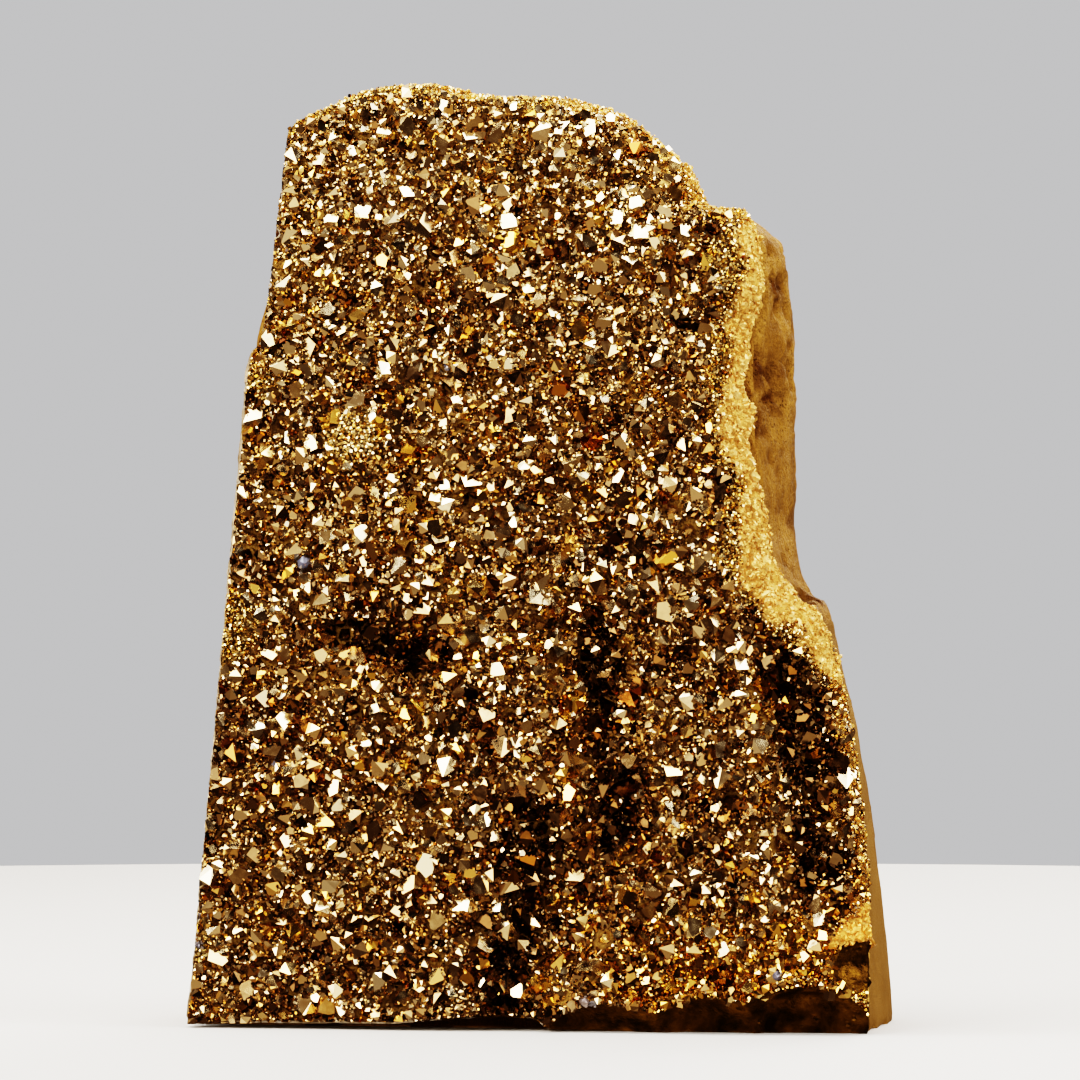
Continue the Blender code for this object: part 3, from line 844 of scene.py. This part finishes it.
def packPoints():
    # the front is a board of tiny cells; each crystal takes its own from what is still free, big ones first
    dice = random.Random(packing["seed"])
    cell = packing["cell"]
    left, low = packing["corner"]
    wide, tall = (int(size / cell) for size in packing["board"])
    openCells = np.zeros((wide, tall), dtype=bool)
    fineCells = np.zeros((wide, tall), dtype=bool)
    step = packing["cellsPerLook"]
    for i in range(0, wide, step):
        for j in range(0, tall, step):
            x, z = left + (i + step // 2) * cell, low + (j + step // 2) * cell
            if belowTop(x, z) < -0.1 or insideRight(x, z) < -0.2 or outsideLeftSaw(x, z) > 0:
                continue
            fine = fineAt(x, z)
            rind = insideRight(x, z) < rindAt(x, z)
            openCells[i:i + step, j:j + step] = fine < 0.6 and not rind
            fineCells[i:i + step, j:j + step] = fine > 0.3 and not rind
    places = {"coarse": [], "middling": [], "small": [], "sugar": [], "glints": []}
    taken = np.zeros((wide, tall), dtype=bool)
    for name, (small, large), count, lean in packing["classes"]:
        ground = fineCells if name == "sugar" else openCells
        made = 0
        for sweep in range(packing["sweeps"]):
            spots = np.argwhere(ground & ~taken)
            order = np.random.default_rng(packing["seed"] + sweep).permutation(len(spots))
            for i, j in spots[order[:count * packing["tries"]]].tolist():
                if made >= count:
                    break
                x, z = left + (i + 0.5) * cell, low + (j + 0.5) * cell
                radius = dice.uniform(small, large) * (1.08 - packing["topShrink"] * z / face["height"])
                radius *= 1 + ripple(packing["sizePatch"], Vector((x, 1.0, z)))
                if offLimits(x, z, radius):
                    continue
                reach = max(int(round(packing["overlap"] * radius / cell)), 1)
                i0, j0 = i - reach, j - reach
                if i0 < 0 or j0 < 0 or i + reach >= wide or j + reach >= tall:
                    continue
                disc = discOf(reach)
                board = taken[i0:i + reach + 1, j0:j + reach + 1]
                if (board & disc).any() or z < 22 and x > -4 and overChip(x, z, radius):
                    continue
                board |= disc
                lower = name == "sugar" and z < 52 and x > 20
                places["glints" if lower else name].append((x, z, radius, lean))
                made += 1
        print("packed", name, made)
    return places


def bedSurface():
    verts = [v.co / mm for v in quartzBed.data.vertices]
    faces = [tuple(p.vertices) for p in quartzBed.data.polygons]
    return BVHTree.FromPolygons(verts, faces)


growth = {
    "tip": (0.4, 0.6), "tipSpread": (0.1, 0.06), "stretch": (0.85, 1.2),  # in mm, plus a share of the radius
    # the tone rises towards the top: painted light
    "tone": 0.555, "toneSpread": 0.18, "topLight": 0.16, "bigTone": 0.08, "fineTone": 0.14,
    "knobTone": (4.5, 0.26), "amberTone": 0.12, "amberPatch": ((34.0, 8.0), (22.0, 9.0)),
    "dark": (0.35, 0.65), "strayShare": 0.12, "stray": (0.2, 0.45),
    "faintEmber": (0.0, 0.14), "emberShare": 0.18, "amberShare": 0.7, "ember": (0.2, 0.55),
    "redShare": 0.011, "red": (0.8, 1.0), "bare": (0.7, 1.0),
}


def toneOf(dice, x, z, radius, amber):
    # painted light: lighter towards the top
    middle = growth["tone"] + growth["topLight"] * (z / face["height"]) ** 2
    tone = dice.gauss(middle + growth["bigTone"] * min(radius - 0.7, 1.0), growth["toneSpread"])
    if dice.random() < shadowAt(x, z):
        tone -= dice.uniform(*growth["dark"])
    elif dice.random() < growth["strayShare"]:
        tone -= dice.uniform(*growth["stray"])
    size, lighter = growth["knobTone"]
    tone += growth["amberTone"] * amber + lighter * fade(fromKnob(x, z), size)
    if radius < 0.4:
        tone += growth["fineTone"] * fineAt(x, z)
    return tone


def emberOf(dice, radius, amber):
    ember = dice.uniform(*growth["faintEmber"]) if radius > 0.8 else 0.0
    if dice.random() < growth["emberShare"] + growth["amberShare"] * amber:
        ember = dice.uniform(*growth["ember"])
    if dice.random() < growth["redShare"]:
        ember = dice.uniform(*growth["red"])
    return ember


def growPoints(places, seed):
    # each crystal gets its foot on the bed, a lean, a height and a colour
    dice = random.Random(seed)
    seeds = []
    (mx, mz), (rx, rz) = growth["amberPatch"]
    for x, z, radius, lean in places:
        place, normal, _, _ = surface.ray_cast(Vector((x, -60.0, z)), Vector((0.0, 1.0, 0.0)))
        if place is None or place.y > bedDepth(x, z) + 1.2:
            continue
        axis = (normal + Vector((0.0, -1.0, 0.0))).normalized()
        axis += Vector((dice.triangular(-2, 2), 0.0, dice.triangular(-2, 2))) * lean
        axis.normalize()
        least, share = growth["tip"]
        spread, spreadShare = growth["tipSpread"]
        tip = least + share * radius + dice.gauss(0, spread + spreadShare * radius)
        stretch = dice.uniform(*growth["stretch"])
        amber = fade(math.hypot((x - mx) / rx, (z - mz) / rz), 1.0)
        tone = toneOf(dice, x, z, radius, amber)
        ember = emberOf(dice, radius, amber)
        bare = 0.0
        if any(math.hypot(x - px, z - pz) < r for px, pz, r in regions["uncoated"]):
            bare = dice.uniform(*growth["bare"])
        foot = place + axis * (tip - 1.1 * radius * stretch)
        roll = dice.uniform(0, math.tau)
        seeds.append((*foot, *axis, roll, radius, stretch, tone, ember, bare))
    return seeds


goldPoints = {
    "roughness": (0.08, 0.20), "bump": 0.006, "metallic": 1.0,
    "colours": [
        (0.0, (0.035, 0.012, 0.002)), (0.3, (0.225, 0.12, 0.047)), (0.6, (0.60, 0.415, 0.213)),
        (1.0, (0.93, 0.79, 0.53)),
    ],
    "tints": [(0.0, (1.0, 1.0, 1.0)), (0.5, (1.0, 0.72, 0.22)), (1.0, (0.62, 0.22, 0.07))],
    "bare": (0.10, 0.10, 0.14), "bareMetal": 0.25,
    "filmScale": 900.0, "filmDeep": 0.2,
}


def pointMaterial(name, recipe):
    material, tree, shader = newMaterial(name, 0.1, 1.0)
    tone, ember, bare = (
        addNode(tree, "ShaderNodeAttribute", {"attribute_name": layer}).outputs["Fac"]
        for layer in ("tone", "ember", "bare")
    )
    gold = addRamp(tree, tone, recipe["colours"])
    glowing = addNode(tree, "ShaderNodeMix", {"data_type": "RGBA", "blend_type": "MULTIPLY"}, {
        "Factor": 1.0, "A": gold, "B": addRamp(tree, ember, recipe["tints"])})
    coloured = addNode(tree, "ShaderNodeMix", {"data_type": "RGBA"}, {
        "Factor": bare, "A": glowing.outputs["Result"], "B": (*recipe["bare"], 1.0)})
    tree.links.new(coloured.outputs["Result"], shader.inputs["Base Color"])
    metal = addNode(tree, "ShaderNodeMapRange", inputs={
        "Value": bare, "To Min": recipe["metallic"], "To Max": recipe["bareMetal"]})
    tree.links.new(metal.outputs[0], shader.inputs["Metallic"])
    place = addNode(tree, "ShaderNodeTexCoord").outputs["Object"]
    film = addNode(tree, "ShaderNodeTexNoise", inputs={
        "Vector": place, "Scale": recipe["filmScale"], "Detail": 2.0})
    low, high = recipe["roughness"]
    rough = addNode(tree, "ShaderNodeMapRange", inputs={
        "Value": film.outputs["Fac"], "From Min": 0.35, "From Max": 0.7, "To Min": low, "To Max": high})
    tree.links.new(rough.outputs[0], shader.inputs["Roughness"])
    bump = addNode(tree, "ShaderNodeBump", inputs={
        "Strength": recipe["bump"], "Distance": recipe["filmDeep"] * mm, "Height": film.outputs["Fac"]})
    tree.links.new(bump.outputs[0], shader.inputs["Normal"])
    return material


goldPoint = pointMaterial("goldPoint", goldPoints)
sugarPoint = pointMaterial("sugarPoint", dict(
    goldPoints, roughness=(0.14, 0.32),
    colours=[(0.0, (0.10, 0.045, 0.008)), (0.4, (0.46, 0.265, 0.065)), (1.0, (0.94, 0.71, 0.34))],
))
crustCrumb = pointMaterial("crustCrumb", dict(
    goldPoints, roughness=(0.38, 0.58), bump=0.5, metallic=0.7,
    colours=[(0.0, (0.40, 0.18, 0.03)), (0.4, (0.66, 0.34, 0.072)), (1.0, (1.0, 0.65, 0.22))],
))
surface = bedSurface()
placesOf = packPoints()
for pieceName, kind, shapes, material, seed in (
    ("coarsePoints", "coarse", pointKinds, goldPoint, 31),
    ("middlingPoints", "middling", pointKinds, goldPoint, 32),
    ("smallPoints", "small", grainKinds, goldPoint, 33),
    ("sugarPoints", "sugar", grainKinds, sugarPoint, 34),
    ("rimGlints", "glints", grainKinds, goldPoint, 35),
):
    joinPoints(pieceName, growPoints(placesOf[kind], seed), shapes, material, seed + 10)
print("crystals grown")


# rind: smooth lumps and crumbs along the right rim and the crust's outer edge, and glitter low down

rind = {
    "kinds": 6, "rough": 0.22, "lean": 0.3, "sunk": (-0.7, -0.25), "strewn": 0.35, "topSize": 0.6,
    "ember": 0.3, "glitterBelow": 50.0,
    "lumps": {"count": 1700, "size": (0.4, 0.95), "shade": (0.5, 0.15)},
    "crumbs": {"count": 5200, "size": (0.2, 0.4), "shade": (0.5, 0.18)},
    "glitter": {"count": 3600, "size": (0.18, 0.42), "shade": (0.64, 0.2)},
}


def cutLump(number):
    # a cube cut finer, rounded and roughened
    dice = random.Random(300 + number)
    bpy.ops.object.select_all(action="DESELECT")
    bpy.ops.mesh.primitive_cube_add(size=1.2, location=(0, 0, 0))
    bpy.ops.object.mode_set(mode="EDIT")
    bpy.ops.mesh.select_all(action="SELECT")
    bpy.ops.mesh.subdivide(number_cuts=1)
    bpy.ops.object.mode_set(mode="OBJECT")
    verts, faces = shapeOf(bpy.context.object, (1.0, 1.0, 1.0))
    verts = verts * (0.3 + 0.7 / np.linalg.norm(verts, axis=1, keepdims=True))
    most = rind["rough"]
    rough = [[dice.uniform(-most, most) for _ in range(3)] for _ in verts]
    return (verts + rough) * (1.0, dice.uniform(0.7, 1.0), dice.uniform(0.6, 0.85)), faces


def rindSpots():
    # the crust's outer edge and the smooth strip of its front; low down on the right it glitters instead
    lumpy, fine = [], []
    for polygon in quartzBed.data.polygons:
        x, y, z = (v / mm for v in polygon.center)
        normal = polygon.normal
        offRim = polygon.material_index != rimSlot and insideRight(x, z) > 1.5
        if offRim or normal.y > 0.35 or outsideLeftSaw(x, z) > -1.2:
            continue
        if z < 6.5 or polygon.material_index == chipSlot:
            continue
        low = z < rind["glitterBelow"]
        width = max(rindAt(x, z) + 0.5, 1.5 if low else 0.0)
        if abs(normal.y) < 0.6 or insideRight(x, z) < width:
            glitters = x > 20 and low and rindAt(x, z) < 0.7
            (fine if glitters else lumpy).append((x, y, z, *normal, belowTop(x, z) < 3))
    return lumpy, fine


def growRind(spots, plan, seed):
    dice = random.Random(seed)
    seeds = []
    strewn = rind["strewn"]
    for x, y, z, nx, ny, nz, atTop in dice.choices(spots, k=plan["count"]):
        radius = dice.uniform(*plan["size"]) * (rind["topSize"] if atTop else 1.0)
        if overChip(x, z, radius):
            continue
        outward = Vector((nx, ny, nz))
        axis = (outward + Vector([dice.gauss(0, rind["lean"]) for _ in range(3)])).normalized()
        out = dice.uniform(*rind["sunk"]) * radius
        place = Vector((x, y, z)) + outward * out
        place += Vector([dice.uniform(-strewn, strewn) for _ in range(3)])
        tone = dice.gauss(*plan["shade"])
        ember = rind["ember"] if z < rind["glitterBelow"] else 0.0
        seeds.append((*place, *axis, dice.uniform(0, math.tau), radius, 1.0, tone, ember, 0.0))
    return seeds


lumpKinds = [cutLump(number) for number in range(rind["kinds"])]
lumpySpots, fineSpots = rindSpots()
for pieceName, spots, plan, shapes, material, seed in (
    ("rindLumps", lumpySpots, "lumps", lumpKinds, crustCrumb, 51),
    ("rindCrumbs", lumpySpots, "crumbs", grainKinds, crustCrumb, 52),
    ("edgeGlitter", fineSpots, "glitter", grainKinds, sugarPoint, 53),
):
    joinPoints(pieceName, growRind(spots, rind[plan], seed), shapes, material, seed + 10)
print("rind strewn", len(lumpySpots), len(fineSpots))


# studio: a pale round table top, soft lights at the sides and above

studio = {
    "floorRadius": 0.47, "floorColour": (0.62, 0.61, 0.59), "floorRoughness": 0.7,
    "aim": (0.0, 0.0, 0.07), "backdrop": (0.55, 0.55, 0.56),
    "reflected": [
        (0.30, (0.008, 0.004, 0.002)), (0.44, (0.055, 0.032, 0.018)), (0.53, (0.21, 0.138, 0.082)),
        (0.60, (0.78, 0.59, 0.40)), (0.67, (2.4, 2.1, 1.7)),
    ],
    "reflectedScale": 1.9,
    "exposure": 0.0, "view": "Filmic", "look": "High Contrast",
}
softLights = {
    # place, size, power, colour
    "leftPanel": ((-0.62, -0.20, 0.34), (0.42, 0.55), 9.0, (1.0, 0.97, 0.92)),
    "rightPanel": ((0.64, -0.12, 0.30), (0.38, 0.50), 7.0, (1.0, 0.97, 0.92)),
    "topPanel": ((-0.05, -0.02, 0.82), (0.55, 0.40), 10.0, (1.0, 0.98, 0.95)),
    "backPanel": ((0.30, 0.80, 0.50), (0.50, 0.40), 6.0, (1.0, 0.97, 0.93)),
    "frontLeft": ((-0.45, -0.75, 0.55), (0.30, 0.30), 5.0, (1.0, 0.97, 0.92)),
}


def buildStudio():
    bpy.ops.object.select_all(action="DESELECT")
    bpy.ops.mesh.primitive_circle_add(
        vertices=96, radius=studio["floorRadius"], fill_type="NGON", location=(0, 0, 0),
    )
    floor = bpy.context.object
    floor.name = "paleFloor"
    material, _, shader = newMaterial("palePlaster", studio["floorRoughness"], 0.0)
    shader.inputs["Base Color"].default_value = (*studio["floorColour"], 1.0)
    floor.data.materials.append(material)
    floor.visible_glossy = False
    for name, (place, size, power, colour) in softLights.items():
        bpy.ops.object.light_add(type="AREA", location=place)
        lamp = bpy.context.object
        lamp.name = name
        lamp.data.shape = "RECTANGLE"
        lamp.data.size, lamp.data.size_y = size
        lamp.data.energy = power
        lamp.data.color = colour
        aim = Vector(studio["aim"]) - lamp.location
        lamp.rotation_euler = aim.to_track_quat("-Z", "Y").to_euler()
    world = bpy.data.worlds.new("studioAir")
    bpy.context.scene.world = world
    world.use_nodes = True
    tree = world.node_tree
    around = addNode(tree, "ShaderNodeTexCoord").outputs["Generated"]
    cloud = addNode(tree, "ShaderNodeTexNoise", inputs={
        "Vector": around, "Scale": studio["reflectedScale"], "Detail": 1.0})
    reflected = addRamp(tree, cloud.outputs["Fac"], studio["reflected"])
    tree.links.new(reflected, tree.nodes["Background"].inputs["Color"])
    seen = addNode(tree, "ShaderNodeBackground", inputs={"Color": (*studio["backdrop"], 1.0)})
    eye = addNode(tree, "ShaderNodeLightPath")
    mix = addNode(tree, "ShaderNodeMixShader", inputs={0: eye.outputs["Is Camera Ray"]})
    tree.links.new(tree.nodes["Background"].outputs[0], mix.inputs[1])
    tree.links.new(seen.outputs[0], mix.inputs[2])
    tree.links.new(mix.outputs[0], tree.nodes["World Output"].inputs["Surface"])
    settings = bpy.context.scene.view_settings
    settings.view_transform = studio["view"]
    settings.look = studio["look"]
    settings.exposure = studio["exposure"]


buildStudio()
print("studio lit")
